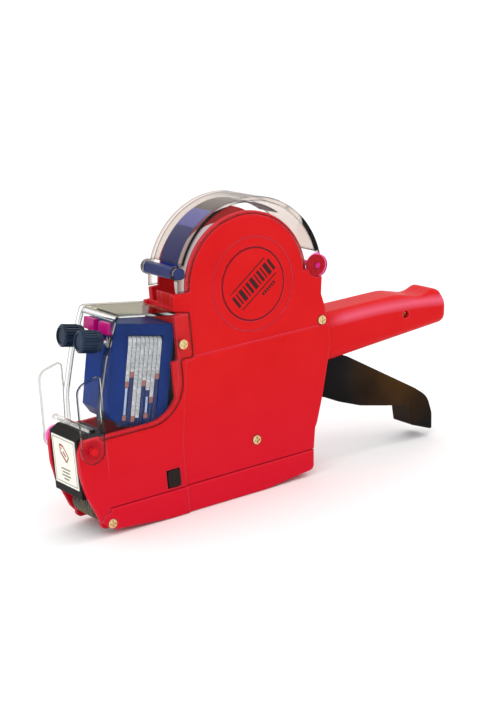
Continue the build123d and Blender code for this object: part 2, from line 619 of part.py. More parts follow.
# ---------------------------------------------------------------- trigger
TRIGGER_OUTLINE = [
    (23.0, 59.0), (42.0, 61.5), (51.5, 57.7), (96.5, 29.4), (104.4, 23.2), (106.8, 13.0), (106.0, 3.4),
    (92.5, 8.8), (91.6, 20.6), (75.0, 24.2), (58.0, 28.2), (44.0, 33.6), (34.0, 38.6), (19.0, 41.4),
]
TRIGGER_RADII = [2, 10, 12, 18, 12, 8, 1, 1, 2, 10, 12, 12, 10, 2]


def trigger():
    """Black lever with a hooked tail, a hub on its shaft and a short arm to the drive pin."""
    grip = across(side_face(TRIGGER_OUTLINE, TRIGGER_RADII), TRIGGER_HALF)
    edges = grip.faces().sort_by(Axis.Y)[0].edges() + grip.faces().sort_by(Axis.Y)[-1].edges()
    grip = fillet(edges, 0.9)
    lever = grip + rod(TRIGGER_AXIS, 9.0, TRIGGER_HALF)
    arm_face = side_face([(11.0, 55.5), (-2.4, 69.0), (2.0, 74.4), (24.0, 57.0)])
    lever += across(arm_face, 8.6) + rod(DRIVE_PIN, 4.4, 8.6)
    lever += across(side_face([(0.0, 47.2), (0.0, 55.0), (14.0, 58.0), (16.0, 47.2)]), 8.6)
    return lever - rod(TRIGGER_AXIS, 3.0 + RUNNING, 20) - rod(DRIVE_PIN, 2.0, 20)


parts["trigger"] = trigger()
parts["trigger_shaft"] = rod(TRIGGER_AXIS, 3.0, 13.4)
parts["drive_pin"] = rod(DRIVE_PIN, 2.0, 12.0)
parts["return_spring"] = Pos(5.0, 0, 22.4) * coil(4.0, 0.7, 3.4, 24.0)


# ---------------------------------------------------------------- screws
def screw(centre, head_bottom, head_top, tip, head_r=SCREW_HEAD_R, shank_r=SCREW_R):
    """Near-side screw with a domed head and a cross recess."""
    head = disc(centre, head_r, head_bottom, head_top)
    head = fillet(head.faces().sort_by(Axis.Y)[0].edges(), 0.5)
    head -= Pos(centre[0], -head_top, centre[1]) * Box(3.4, 1.0, 0.8)
    head -= Pos(centre[0], -head_top, centre[1]) * Box(0.8, 1.0, 3.4)
    return head + disc(centre, shank_r, tip, head_bottom + 0.1)


back_screw = screw(BACK_SCREW, 14.3, 15.8, -10)
belly_screw = screw(BELLY_SCREW, 15.3, 16.7, -10)
parts["shell_screws"] = Compound(children=[back_screw, belly_screw])
hood_screw = screw(HOOD_SCREW, 18.8, 20.0, 12.5, shank_r=1.4)
parts["hood_screws"] = Compound(children=[hood_screw, far(hood_screw)])
hinge_screw = screw(COVER_PIVOT, 16.1, 17.3, 11.8)
parts["cover_hinge_screws"] = Compound(children=[hinge_screw, far(hinge_screw)])
parts["handle_screw"] = screw(HANDLE_SCREW, 8.1, 9.4, -8, head_r=2.1)

os.makedirs("parts", exist_ok=True)
for name, part in parts.items():
    export_step(part, f"parts/{name}.step")
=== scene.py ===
import json
import math
import bmesh
import bpy
from mathutils import Matrix, Vector


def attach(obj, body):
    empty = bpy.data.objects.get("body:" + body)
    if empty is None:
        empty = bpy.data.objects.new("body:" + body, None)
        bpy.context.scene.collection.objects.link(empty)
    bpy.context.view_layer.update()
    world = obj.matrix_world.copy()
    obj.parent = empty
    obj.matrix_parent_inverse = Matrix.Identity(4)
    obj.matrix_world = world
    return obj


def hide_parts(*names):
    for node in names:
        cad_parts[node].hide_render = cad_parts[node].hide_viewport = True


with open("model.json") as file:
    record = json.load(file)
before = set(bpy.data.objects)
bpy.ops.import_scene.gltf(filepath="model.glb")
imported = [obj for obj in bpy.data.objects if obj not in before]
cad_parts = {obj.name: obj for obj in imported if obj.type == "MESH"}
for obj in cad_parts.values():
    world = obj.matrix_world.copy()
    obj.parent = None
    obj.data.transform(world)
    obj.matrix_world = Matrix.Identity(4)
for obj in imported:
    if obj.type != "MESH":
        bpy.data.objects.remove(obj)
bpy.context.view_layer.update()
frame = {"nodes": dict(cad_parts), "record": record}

NODES = frame["nodes"]
MM = 0.001


def joint_centre(name):
    """Where a joint's axis crosses the middle plane, as (x, z) in millimetres."""
    joint = next(j for j in frame["record"]["behaviour"]["joints"] if j["name"] == name)
    x, _, z = joint["pos_m"]
    return x / MM, z / MM


# Sizes are in millimetres, and a place with two values is (x, z). The near side faces -Y.
ROLL_CENTRE = joint_centre("label_roll_spin")
COVER_HINGE = joint_centre("roll_cover_hinge")
SHIELD_PIVOT = joint_centre("nose_shield_hinge")
APPLICATOR_CENTRE = joint_centre("applicator_spin")
BADGE_CENTRE = (-9.0, 110.5)

# The crest along the top of the handle's sides, where a highlight is painted, is a parabola.
CREST_TOP = (62.0, 80.4)
CREST_FALL = 1.2            # drop of the crest per square of the distance from its top, in metres
CREST_SIDE = (9.5, 11.5)    # the highlight fades in between these distances from the middle plane
CREST_START = (37.0, 50.0)  # and between these places along the handle
CREST_HALF = (0.4, 4.0)     # full inside the first distance from the crest, gone at the second


# ------------------------------------------------------------------ node helpers
class Tree:
    """Short calls for building a material's node tree. Lengths are in millimetres."""

    def __init__(self, name):
        self.material = bpy.data.materials.new(name)
        self.material.use_nodes = True
        self.nodes = self.material.node_tree.nodes
        self.links = self.material.node_tree.links
        self.nodes.clear()
        self.out = self.nodes.new("ShaderNodeOutputMaterial")
        self.shader = self.nodes.new("ShaderNodeBsdfPrincipled")
        self.links.new(self.shader.outputs[0], self.out.inputs["Surface"])
        self.place = self.nodes.new("ShaderNodeTexCoord").outputs["Object"]

    def put(self, value, socket):
        """Link a socket, or set a plain value, on an input."""
        if isinstance(value, bpy.types.NodeSocket):
            self.links.new(value, socket)
        else:
            socket.default_value = value

    def noise(self, scale, detail=2.0, rough=0.5, stretch=None):
        """Noise from 0 to 1; scale is in waves per metre."""
        node = self.nodes.new("ShaderNodeTexNoise")
        node.inputs["Scale"].default_value = scale
        node.inputs["Detail"].default_value = detail
        node.inputs["Roughness"].default_value = rough
        source = self.place
        if stretch:
            mapping = self.nodes.new("ShaderNodeMapping")
            mapping.inputs["Scale"].default_value = stretch
            self.links.new(source, mapping.inputs["Vector"])
            source = mapping.outputs[0]
        self.links.new(source, node.inputs["Vector"])
        return node.outputs["Fac"]

    def math(self, operation, a, b=0.0, clamp=False):
        node = self.nodes.new("ShaderNodeMath")
        node.operation = operation
        node.use_clamp = clamp
        self.put(a, node.inputs[0])
        self.put(b, node.inputs[1])
        return node.outputs[0]

    def spread(self, value, low, high, start=0.3, end=0.7):
        """Map a value between start and end to low and high."""
        node = self.nodes.new("ShaderNodeMapRange")
        node.inputs["From Min"].default_value = start
        node.inputs["From Max"].default_value = end
        node.inputs["To Min"].default_value = low
        node.inputs["To Max"].default_value = high
        self.put(value, node.inputs["Value"])
        return node.outputs[0]

    def mix(self, factor, a, b):
        """Colour a where the factor is 0 and colour b where it is 1."""
        node = self.nodes.new("ShaderNodeMix")
        node.data_type = "RGBA"
        self.put(factor, node.inputs[0])
        self.put(a if isinstance(a, bpy.types.NodeSocket) else (*a, 1.0), node.inputs[6])
        self.put(b if isinstance(b, bpy.types.NodeSocket) else (*b, 1.0), node.inputs[7])
        return node.outputs[2]

    def axes(self):
        node = self.nodes.new("ShaderNodeSeparateXYZ")
        self.links.new(self.place, node.inputs[0])
        return node.outputs

    def bump(self, height, depth, below=None):
        """Normal of a height map from 0 to the depth, on top of another normal."""
        node = self.nodes.new("ShaderNodeBump")
        node.inputs["Distance"].default_value = depth * MM
        self.put(height, node.inputs["Height"])
        if below is not None:
            self.links.new(below, node.inputs["Normal"])
        return node.outputs[0]

    def edge(self, radius):
        """Normal softened at sharp edges, as on a moulded corner."""
        node = self.nodes.new("ShaderNodeBevel")
        node.samples = 4
        node.inputs["Radius"].default_value = radius * MM
        return node.outputs[0]

    def corner(self, radius, gain=3.2):
        """0 on flat faces, rising to 1 at sharp edges."""
        turn = self.nodes.new("ShaderNodeVectorMath")
        turn.operation = "DOT_PRODUCT"
        self.links.new(self.edge(radius), turn.inputs[0])
        self.links.new(self.nodes.new("ShaderNodeNewGeometry").outputs["Normal"], turn.inputs[1])
        flat = self.math("ABSOLUTE", turn.outputs["Value"])
        return self.math("MULTIPLY", self.math("SUBTRACT", 1.0, flat), gain, True)

    def away(self, centre):
        """Distance in the XZ plane from a centre."""
        x, _, z = self.axes()
        dx = self.math("SUBTRACT", x, centre[0] * MM)
        dz = self.math("SUBTRACT", z, centre[1] * MM)
        squares = self.math("ADD", self.math("MULTIPLY", dx, dx), self.math("MULTIPLY", dz, dz))
        return self.math("SQRT", squares)

    def zone(self, distance, inner, outer):
        """1 inside the inner radius, falling to 0 at the outer one."""
        return self.spread(distance, 1.0, 0.0, inner * MM, outer * MM)

    def handle_crest_highlight(self):
        """1 along the soft crest of the handle's sides, where a highlight is painted, and 0 elsewhere."""
        x, y, z = self.axes()
        run = self.math("SUBTRACT", x, CREST_TOP[0] * MM)
        drop = self.math("MULTIPLY", self.math("MULTIPLY", run, run), CREST_FALL)
        crest = self.math("SUBTRACT", CREST_TOP[1] * MM, drop)
        near = self.zone(self.math("ABSOLUTE", self.math("SUBTRACT", z, crest)), *CREST_HALF)
        side_in, side_full = CREST_SIDE
        side = self.spread(self.math("ABSOLUTE", y), 0.0, 1.0, side_in * MM, side_full * MM)
        start, full = CREST_START
        along = self.spread(x, 0.0, 1.0, start * MM, full * MM)
        return self.math("MULTIPLY", near, self.math("MULTIPLY", side, along))

    def done(self, **inputs):
        """Set or link the shader's inputs, each named with _ for a space."""
        for key, value in inputs.items():
            self.put(value, self.shader.inputs[key.replace("_", " ")])
        return self.material


def scaled(colour, factor):
    return tuple(c * factor for c in colour)


def moulded(name, colour, rough=0.3, vary=0.08, grain=0.03, coat=0.0, edge=0.5, specular=0.2,
            scuff=0.05, low=None, glow=None, rim=None, crest=None):
    """Moulded plastic: slow colour drift, fine orange-peel, uneven gloss and pale scuffs.

    Low is (colour, start, end) for the colour at and below the start height, gone at the end height.
    Glow is (centre, radius, colour), a painted sheen strongest at its centre. Rim paints a highlight on
    the sharp edges, and crest paints a highlight along the top of the handle's sides.
    """
    t = Tree(name)
    drift = t.noise(38.0, detail=3.0)
    peel = t.noise(900.0)
    marks = t.spread(t.noise(160.0, detail=4.0, rough=0.7, stretch=(1.0, 1.0, 0.25)), 0.0, 1.0,
                     start=0.62, end=0.8)
    darker = scaled(colour, 1.0 - vary)
    lighter = tuple(min(1.0, c * (1.0 + vary) + 0.004) for c in colour)
    pale = tuple(min(1.0, c * 1.12 + 0.03) for c in colour)
    body = t.mix(t.spread(drift, 0.0, 1.0), darker, lighter)
    body = t.mix(t.math("MULTIPLY", marks, scuff), body, pale)
    if low:
        tone, start, end = low
        body = t.mix(t.zone(t.axes()[2], start, end), body, tone)
    # Painted highlight: a pink stripe along the crest of the handle's sides, where a lamp's reflection
    # falls.
    if crest:
        body = t.mix(t.math("MULTIPLY", t.handle_crest_highlight(), 0.6), body, crest)
    # Painted highlight: the sharp edges are lightened towards pink, where lamps would catch the moulded
    # corners.
    if rim:
        body = t.mix(t.math("MULTIPLY", t.corner(1.0), 0.9), body, rim)
    if glow:
        centre, radius, tone = glow
        body = t.mix(t.math("MULTIPLY", t.zone(t.away(centre), 0.0, radius), drift), body, tone)
    gloss = t.math("ADD", t.spread(drift, rough - 0.04, rough + 0.05), t.math("MULTIPLY", marks, 0.08),
                   clamp=True)
    normal = t.bump(peel, grain, t.edge(edge) if edge else None)
    return t.done(Base_Color=body, Roughness=gloss, Normal=normal, Coat_Weight=coat, Coat_Roughness=0.12,
                  Specular_IOR_Level=specular)


def clear(name, tint, edge_shade, spots=(), band=None, lid_shade=None, ior=1.22):
    """Clear moulded plastic, with painted shade along its edges, that lets the lamps' light through.

    Spots are (centre, radius, colour) discs of colour, band is (centre, radius, colour) for all that lies
    outside a radius, and lid_shade paints brownish shade on the faces that look up.
    """
    t = Tree(name)
    waves = t.noise(45.0)
    scratches = t.noise(420.0, detail=4.0, rough=0.7, stretch=(0.15, 1.0, 1.0))
    body = t.mix(t.spread(waves, 0.0, 1.0), tint, tuple(min(1.0, c * 1.02) for c in tint))
    if band:
        centre, radius, colour = band
        body = t.mix(t.zone(t.away(centre), radius, radius - 0.3), body, colour)
    # Painted shade: the level faces of the hood, top and bottom alike, are tinted brownish and darker.
    if lid_shade:
        up = t.nodes.new("ShaderNodeSeparateXYZ")
        t.links.new(t.nodes.new("ShaderNodeNewGeometry").outputs["Normal"], up.inputs[0])
        level = t.math("ABSOLUTE", up.outputs[2])
        body = t.mix(t.spread(level, 0.0, 1.0, start=0.8, end=0.95), body, lid_shade)
    # Painted shade: the clear plastic's edges are darkened where total reflection would show dark lines.
    body = t.mix(t.corner(2.0, gain=5.0), body, edge_shade)
    for centre, radius, colour in spots:
        body = t.mix(t.zone(t.away(centre), radius, radius + 0.8), body, colour)
    t.done(Base_Color=body, Roughness=t.spread(scratches, 0.02, 0.06, start=0.45, end=0.75),
           Normal=t.bump(waves, 0.03), Transmission_Weight=1.0, IOR=ior)
    lamps = t.nodes.new("ShaderNodeBsdfTransparent")
    lamps.inputs[0].default_value = (0.93, 0.92, 0.91, 1.0)
    rays = t.nodes.new("ShaderNodeLightPath")
    both = t.nodes.new("ShaderNodeMixShader")
    t.links.new(rays.outputs["Is Shadow Ray"], both.inputs[0])
    t.links.new(t.shader.outputs[0], both.inputs[1])
    t.links.new(lamps.outputs[0], both.inputs[2])
    t.links.new(both.outputs[0], t.out.inputs["Surface"])
    return t.material


def metal(name, colour, rough):
    """Plated or brushed metal with fine lines, dull spots and painted shade in its corners."""
    t = Tree(name)
    lines = t.noise(900.0, detail=3.0, stretch=(1.0, 12.0, 1.0))
    spots = t.noise(120.0, detail=3.0)
    body = t.mix(t.spread(spots, 0.0, 1.0, start=0.5, end=0.8), colour, scaled(colour, 0.72))
    # Painted shade: corners and recesses, such as the screws' cross recesses, are darkened.
    body = t.mix(t.corner(0.4, gain=4.0), body, scaled(colour, 0.12))
    return t.done(Base_Color=body, Roughness=t.spread(lines, rough - 0.08, rough + 0.12),
                  Normal=t.bump(lines, 0.02), Metallic=1.0)


def rubber(name, colour, dust_and_sheen, rough):
    """Rubber, felt or board: a matt surface with dust in its pores; on the applicator roller the second
    colour is a painted oily sheen instead.
    """
    t = Tree(name)
    pores = t.noise(1400.0, detail=3.0)
    wear_and_sheen = t.noise(220.0, detail=4.0, rough=0.65)
    body = t.mix(t.spread(wear_and_sheen, 0.0, 1.0, start=0.42, end=0.68), colour, dust_and_sheen)
    return t.done(Base_Color=body, Roughness=t.spread(wear_and_sheen, rough - 0.12, rough + 0.1),
                  Normal=t.bump(pores, 0.06))


def paper_roll(name, colour, centre, turns):
    """Wound label stock: fine rings on the ends, turns radians per millimetre, and a faint painted glow
    that lifts it out of the shade inside the cover.
    """
    t = Tree(name)
    rings = t.math("SINE", t.math("MULTIPLY", t.away(centre), turns / MM))
    slow = t.noise(60.0, detail=3.0)
    factor = t.math("ADD", t.math("MULTIPLY", rings, 0.25), t.spread(slow, 0.2, 0.8))
    body = t.mix(factor, scaled(colour, 0.82), colour)
    # Painted light: the emission brightens the paper where it lies in shade inside the cover.
    return t.done(Base_Color=body, Roughness=t.spread(slow, 0.7, 0.85), Normal=t.bump(rings, 0.04),
                  Emission_Color=(1.0, 0.99, 0.97, 1.0), Emission_Strength=0.3)


# ------------------------------------------------------------------ finishes
RED = (0.63, 0.0038, 0.0055)
RED_LOW = (0.63, 0.0042, 0.022)
# Colour of the painted highlight on the body's sharp edges.
RED_EDGE_HIGHLIGHT = (0.92, 0.1, 0.18)
# Colour of the painted highlight along the crest of the handle's sides.
RED_CREST_HIGHLIGHT = (0.85, 0.16, 0.26)
MAGENTA = (0.8, 0.12, 0.42)
# Colour of the painted shade along the roll cover's edges.
GREY_EDGE_SHADE = (0.05, 0.055, 0.06)
COVER_EAR_R = 6.6
SHIELD_EAR_R = 5.2
ARCH_CENTRE, ARCH_BAND_R = (-9.7, 111.8), 41.9     # the roll cover is brownish outside this radius
TRIGGER_GLOW, TRIGGER_GLOW_R = (88.0, 46.0), 40.0  # warm light on the middle of the trigger's bow
RED_LOW_END = 70.0                                 # the body's lower red gives way to the upper by here
LEAF_DARK_END = 144.0                              # the leaf is darker below this height
FINISH = {
    "red_plastic": moulded("red_plastic", RED, 0.36, 0.03, grain=0.02, edge=1.4, specular=0.09,
                           low=(RED_LOW, 0.0, RED_LOW_END), rim=RED_EDGE_HIGHLIGHT, crest=RED_CREST_HIGHLIGHT),
    "red_badge": moulded("red_badge", RED, 0.4, 0.03, specular=0.09),
    "blue_plastic": moulded("blue_plastic", (0.014, 0.024, 0.12), 0.3, 0.15, coat=0.05),
    "navy_plastic": moulded("navy_plastic", (0.002, 0.026, 0.17), 0.35, 0.25, edge=0.4, specular=0.05),
    "black_plastic": moulded("black_plastic", (0.006, 0.005, 0.004), 0.38, 0.2, specular=0.05),
    "knob_plastic": moulded("knob_plastic", (0.004, 0.017, 0.045), 0.3, 0.25, edge=0.3),
    "trigger_plastic": moulded("trigger_plastic", (0.005, 0.004, 0.004), 0.42, 0.3, specular=0.05,
                               glow=(TRIGGER_GLOW, TRIGGER_GLOW_R, (0.13, 0.05, 0.001))),
    "magenta_plastic": moulded("magenta_plastic", (0.6, 0.004, 0.22), 0.25, 0.1),
    "white_plastic": moulded("white_plastic", (0.82, 0.82, 0.79), 0.4, 0.04),
    "latch_plastic": moulded("latch_plastic", (0.012, 0.006, 0.004), 0.35, 0.2, specular=0.15),
    "white_plate": moulded("white_plate", (0.9, 0.88, 0.8), 0.25, 0.03, coat=0.1),
    "band_rubber": rubber("band_rubber", (0.62, 0.66, 0.67), (0.44, 0.46, 0.46), 0.6),
    "black_rubber": rubber("black_rubber", (0.02, 0.02, 0.018), (0.11, 0.1, 0.05), 0.6),
    "ink_felt": rubber("ink_felt", (0.012, 0.012, 0.02), (0.03, 0.03, 0.05), 0.9),
    "label_paper": paper_roll("label_paper", (0.9, 0.9, 0.88), ROLL_CENTRE, 14.0),
    "core_board": rubber("core_board", (0.5, 0.36, 0.22), (0.42, 0.29, 0.17), 0.85),
    "steel": metal("steel", (0.62, 0.62, 0.6), 0.26),
    "gold_screw": metal("gold_screw", (0.8, 0.6, 0.3), 0.28),
    "belt": rubber("belt", (0.003, 0.022, 0.13), (0.008, 0.035, 0.15), 0.55),
    "band_ink": rubber("band_ink", (0.03, 0.045, 0.05), (0.1, 0.12, 0.12), 0.7),
    "band_block": rubber("band_block", (0.36, 0.15, 0.12), (0.24, 0.1, 0.09), 0.6),
    "band_strip": rubber("band_strip", (0.42, 0.56, 0.78), (0.3, 0.4, 0.62), 0.5),
    "badge_ink": moulded("badge_ink", (0.035, 0.002, 0.003), 0.4, 0.2, edge=0.0),
    "olive_ink": moulded("olive_ink", (0.24, 0.22, 0.13), 0.5, 0.2, edge=0.0),
    "gold_ink": moulded("gold_ink", (0.5, 0.26, 0.1), 0.4, 0.2, edge=0.0),
    "rust_ink": moulded("rust_ink", (0.34, 0.05, 0.035), 0.5, 0.2, edge=0.0),
    # The roller's olive second colour is a painted sheen, patches of painted highlight on the dark rubber.
    "roller_rubber": rubber("roller_rubber", (0.018, 0.016, 0.008), (0.14, 0.11, 0.03), 0.45),
    "clear_arch": clear("clear_arch", (0.97, 0.965, 0.965), GREY_EDGE_SHADE,
                        spots=[(COVER_HINGE, COVER_EAR_R, MAGENTA)],
                        band=(ARCH_CENTRE, ARCH_BAND_R, (0.7, 0.6, 0.54))),
    "clear_hood": clear("clear_hood", (0.95, 0.95, 0.96), (0.03, 0.045, 0.03), lid_shade=(0.36, 0.32, 0.2),
                        ior=1.15),
    "clear_shield": clear("clear_shield", (0.985, 0.98, 0.975), (0.09, 0.1, 0.07),
                          spots=[(SHIELD_PIVOT, SHIELD_EAR_R, MAGENTA)]),
    "leaf": moulded("leaf", (0.13, 0.17, 0.75), 0.35, 0.1, edge=0.0, specular=0.1,
                    low=((0.008, 0.022, 0.24), LEAF_DARK_END - 1.0, LEAF_DARK_END)),
    # Grey painted shade on the leaf's upper end, under the top of the arch.
    "leaf_end_shade": moulded("leaf_end_shade", (0.11, 0.1, 0.1), 0.45, 0.15, edge=0.0, specular=0.1),
}
# These nodes look different from the rest of their material slot.
BY_NODE = {
    "roll_cover": "clear_arch",
    "head_hood": "clear_hood",
    "nose_shield": "clear_shield",
    "shield_pivots": "red_badge",
    "roll_cover_pin": "magenta_plastic",
    "latch_button_near": "latch_plastic",
    "latch_button_far": "latch_plastic",
}
for part in frame["record"]["subparts"]:
    node = NODES[part["node"]]
    node.data.materials.clear()
    node.data.materials.append(FINISH[BY_NODE.get(part["node"], part["material_slot"])])


# ------------------------------------------------------------------ mesh helpers
def circle(centre, radius, y, count):
    """Points round a line along Y."""
    angles = [2 * math.pi * i / count for i in range(count)]
    return [(centre[0] + radius * math.cos(a), y, centre[1] + radius * math.sin(a)) for a in angles]


class Shape:
    """Collects the faces of one piece, in millimetres, with a material number for each."""

    def __init__(self, place=None):
        self.mesh = bmesh.new()
        self.place = place or Matrix.Identity(4)

    def points(self, coordinates):
        scale = Matrix.Scale(MM, 4)
        return [self.mesh.verts.new(scale @ self.place @ Vector(c)) for c in coordinates]

    def face(self, verts, material=0, smooth=False):
        made = self.mesh.faces.new(verts)
        made.material_index = material
        made.smooth = smooth

    def patch(self, xs, y, zs, material):
        """Flat rectangle that faces sideways, from the first to the second of xs and of zs."""
        corners = [(xs[0], y, zs[0]), (xs[1], y, zs[0]), (xs[1], y, zs[1]), (xs[0], y, zs[1])]
        self.face(self.points(corners), material)

    def skin(self, row, after, material=0, smooth=True):
        """Faces between two closed rows with the same number of points."""
        for i in range(len(row)):
            k = (i + 1) % len(row)
            self.face([row[i], row[k], after[k], after[i]], material, smooth)

    def loft(self, rings, material=0, smooth=True, caps=True):
        """Skin over rings of the same number of points."""
        rows = [self.points(ring) for ring in rings]
        for row, after in zip(rows, rows[1:]):
            self.skin(row, after, material, smooth)
        if caps:
            self.face(rows[0][::-1], material)
            self.face(rows[-1], material)

    def box(self, low, high, material=0):
        x0, y0, z0 = low
        x1, y1, z1 = high
        outline = [(x0, y0), (x1, y0), (x1, y1), (x0, y1)]
        self.loft([[(x, y, z0) for x, y in outline], [(x, y, z1) for x, y in outline]], material, False)

    def plate(self, outline, y_inner, y_outer):
        """Prism of an (x, z) outline between two distances along Y."""
        self.loft([[(x, y_inner, z) for x, z in outline], [(x, y_outer, z) for x, z in outline]],
                  smooth=False)

    def ring_line(self, centre, radius, width, y, depth, count=96):
        """Thin raised ring on a side face."""
        profile = [(radius, y), (radius + width, y), (radius + width, y + depth), (radius, y + depth)]
        rows = [self.points(circle(centre, r, ring_y, count)) for r, ring_y in profile]
        for row, after in zip(rows, rows[1:] + rows[:1]):
            self.skin(row, after)

    def done(self, name, body, finishes, stands_for=(), slot=None):
        bmesh.ops.recalc_face_normals(self.mesh, faces=self.mesh.faces)
        mesh = bpy.data.meshes.new(name)
        self.mesh.to_mesh(mesh)
        self.mesh.free()
        for finish in finishes:
            mesh.materials.append(FINISH[finish])
        piece = bpy.data.objects.new(name, mesh)
        bpy.context.scene.collection.objects.link(piece)
        if stands_for:
            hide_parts(*stands_for)
        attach(piece, body)


# ------------------------------------------------------------------ number bands
# The bands are built upright and leaned back with the print head; there x runs from the knobs to the rear.
HEAD_ORIGIN = (-79.0, 78.5)
HEAD_TILT = 12.0
BAND_MIDDLE = 1.6            # the row of bands sits a little behind the middle of the head
BAND_PITCH = 2.45
BAND_HALF_WIDTH = 1.07
BAND_LINE_Y = 9.2
BAND_TOP, BAND_BOTTOM = 14.9, -24.6   # axes of the wheels that a band runs over
BAND_HALF_LOOP = 3.7
BAND_ARC_STEPS = 16
PAPER_LIFT = 0.03            # the print stands this far off the belt
INK_LIFT = 0.045
CROWN_STEPS, CROWN_STEP = 6, 12.0     # the print goes on over the top wheel, one step in degrees at a time
BLOCK_HALF_DEPTH = 0.1
BLOCK_HEIGHT = 3.0
STRIP_HALF_WIDTH = 0.62
STRIP_START = 3.4            # below the end of the wide print
STRIP_BLOCK = (2.8, 0.3)     # bottom and top of its block, below the end of the strip
DIGIT_SIZE = (1.35, 1.45)
DIGIT_STEP = 1.98
DIGIT_FIRST = 0.6            # middle of the first digit, below the top wheel's axis
DIGIT_ROOM = 0.9             # a digit needs this much print below its middle
NUMBER_SHIFT = 3             # the top number rises by this from one band to the next
# Material numbers of a band.
BELT, PAPER, INK, BLOCK, STRIP = range(5)
# For each band, from the front: where its wide print ends, whether a block closes it, and where a narrow
# strip below it ends.
BAND_PRINT = [(-4.5, True, -21.5), (0.5, True, None), (-22.0, True, None), (-23.0, False, None),
              (-4.0, True, None), (-9.0, False, -20.5), (-12.5, True, None), (-0.5, True, None)]
# Bars of a seven-bar digit, as left, bottom, right and top in a digit of size 1.
STROKES = {
    "a": (-0.5, 0.42, 0.5, 0.5), "b": (0.36, 0.0, 0.5, 0.5), "c": (0.36, -0.5, 0.5, 0.0),
    "d": (-0.5, -0.5, 0.5, -0.42), "e": (-0.5, -0.5, -0.36, 0.0), "f": (-0.5, 0.0, -0.36, 0.5),
    "g": (-0.5, -0.04, 0.5, 0.04),
}
DIGITS = ["abcdef", "bc", "abged", "abgcd", "fgbc", "afgcd", "afgedc", "abc", "abcdefg", "abcdfg"]


def band_loop(x, side):
    """Outline of a belt round its two wheels."""
    outline = []
    for start, axis in ((0.0, BAND_TOP), (math.pi, BAND_BOTTOM)):
        for i in range(BAND_ARC_STEPS + 1):
            a = start + math.pi * i / BAND_ARC_STEPS
            outline.append((x, side * BAND_LINE_Y + BAND_HALF_LOOP * math.cos(a),
                            axis + BAND_HALF_LOOP * math.sin(a)))
    return outline


def crown(shape, left, right, side):
    """The print where it curves over the top wheel."""
    radius = BAND_HALF_LOOP + PAPER_LIFT
    rows = []
    for i in range(CROWN_STEPS):
        a = math.radians(CROWN_STEP * i)
        y, z = side * (BAND_LINE_Y + radius * math.cos(a)), BAND_TOP + radius * math.sin(a)
        rows.append(shape.points([(left, y, z), (right, y, z)]))
    for row, after in zip(rows, rows[1:]):
        shape.face([row[0], row[1], after[1], after[0]], PAPER, True)


def block(shape, left, right, y, low, high):
    """Coloured block that sits astride the face of a band."""
    shape.box((left, y - BLOCK_HALF_DEPTH, low), (right, y + BLOCK_HALF_DEPTH, high), BLOCK)


def digits(shape, x, side, first, bottom):
    """A column of digits that counts up from the first one, down to the bottom of the print."""
    reading = 1 if side < 0 else -1
    y = side * (BAND_LINE_Y + BAND_HALF_LOOP + INK_LIFT)
    width, height = DIGIT_SIZE
    z = BAND_TOP - DIGIT_FIRST
    number = first
    while z - DIGIT_ROOM > bottom:
        for key in DIGITS[number]:
            x0, z0, x1, z1 = STROKES[key]
            shape.patch((x + reading * x0 * width, x + reading * x1 * width), y,
                        (z + z0 * height, z + z1 * height), INK)
        number = (number + 1) % len(DIGITS)
        z -= DIGIT_STEP


def number_bands(side, name, node):
    """Belts round their wheels, with printed numbers and a coloured block where each print ends."""
    head = Matrix.Translation((HEAD_ORIGIN[0], 0.0, HEAD_ORIGIN[1]))
    shape = Shape(head @ Matrix.Rotation(math.radians(HEAD_TILT), 4, "Y"))
    y = side * (BAND_LINE_Y + BAND_HALF_LOOP + PAPER_LIFT)
    for index, (print_end, has_block, strip_end) in enumerate(BAND_PRINT):
        x = BAND_MIDDLE + (index - (len(BAND_PRINT) - 1) / 2) * BAND_PITCH
        left, right = x - BAND_HALF_WIDTH, x + BAND_HALF_WIDTH
        shape.loft([band_loop(left, side), band_loop(right, side)], BELT)
        shape.patch((left, right), y, (BAND_TOP, print_end), PAPER)
        if strip_end is not None:
            shape.patch((x - STRIP_HALF_WIDTH, x + STRIP_HALF_WIDTH), y,
                        (print_end - STRIP_START, strip_end), STRIP)
        if has_block:
            block(shape, left, right, y, print_end - BLOCK_HEIGHT, print_end)
        if strip_end is not None:
            block(shape, left, right, y, strip_end - STRIP_BLOCK[0], strip_end - STRIP_BLOCK[1])
        crown(shape, left, right, side)
        digits(shape, x, side, index * NUMBER_SHIFT % len(DIGITS), print_end)
    shape.done(name, "print_head", ["belt", "band_rubber", "band_ink", "band_block", "band_strip"],
               (node,), "band_rubber")


# ------------------------------------------------------------------ badge and face ring
BADGE_SLANT = 35.0
BADGE_RING_R, BADGE_RING_WIDTH = 18.5, 0.4
BADGE_FACE_Y = 15.2
BADGE_MARK_DEPTH = 0.06
BADGE_LINE = (27.0, 0.55)              # length and width of the line above and below the bars
BADGE_LINE_OFF = 5.6
CODE_BARS = (1.6, 0.8, 2.4, 0.8, 1.6, 2.4, 0.8, 1.6, 0.8, 2.4, 1.6)
CODE_START, CODE_GAP, CODE_HEIGHT = -14.2, 1.25, 7.0
TICKS, TICK_START, TICK_STEP, TICK_OFF = 6, 1.0, 1.7, -8.4
TICK_SIZE = (1.0, 1.8)
FACE_RING_R, FACE_RING_WIDTH = 24.3, 0.5
FACE_RING_Y, FACE_RING_DEPTH = 14.98, 0.09


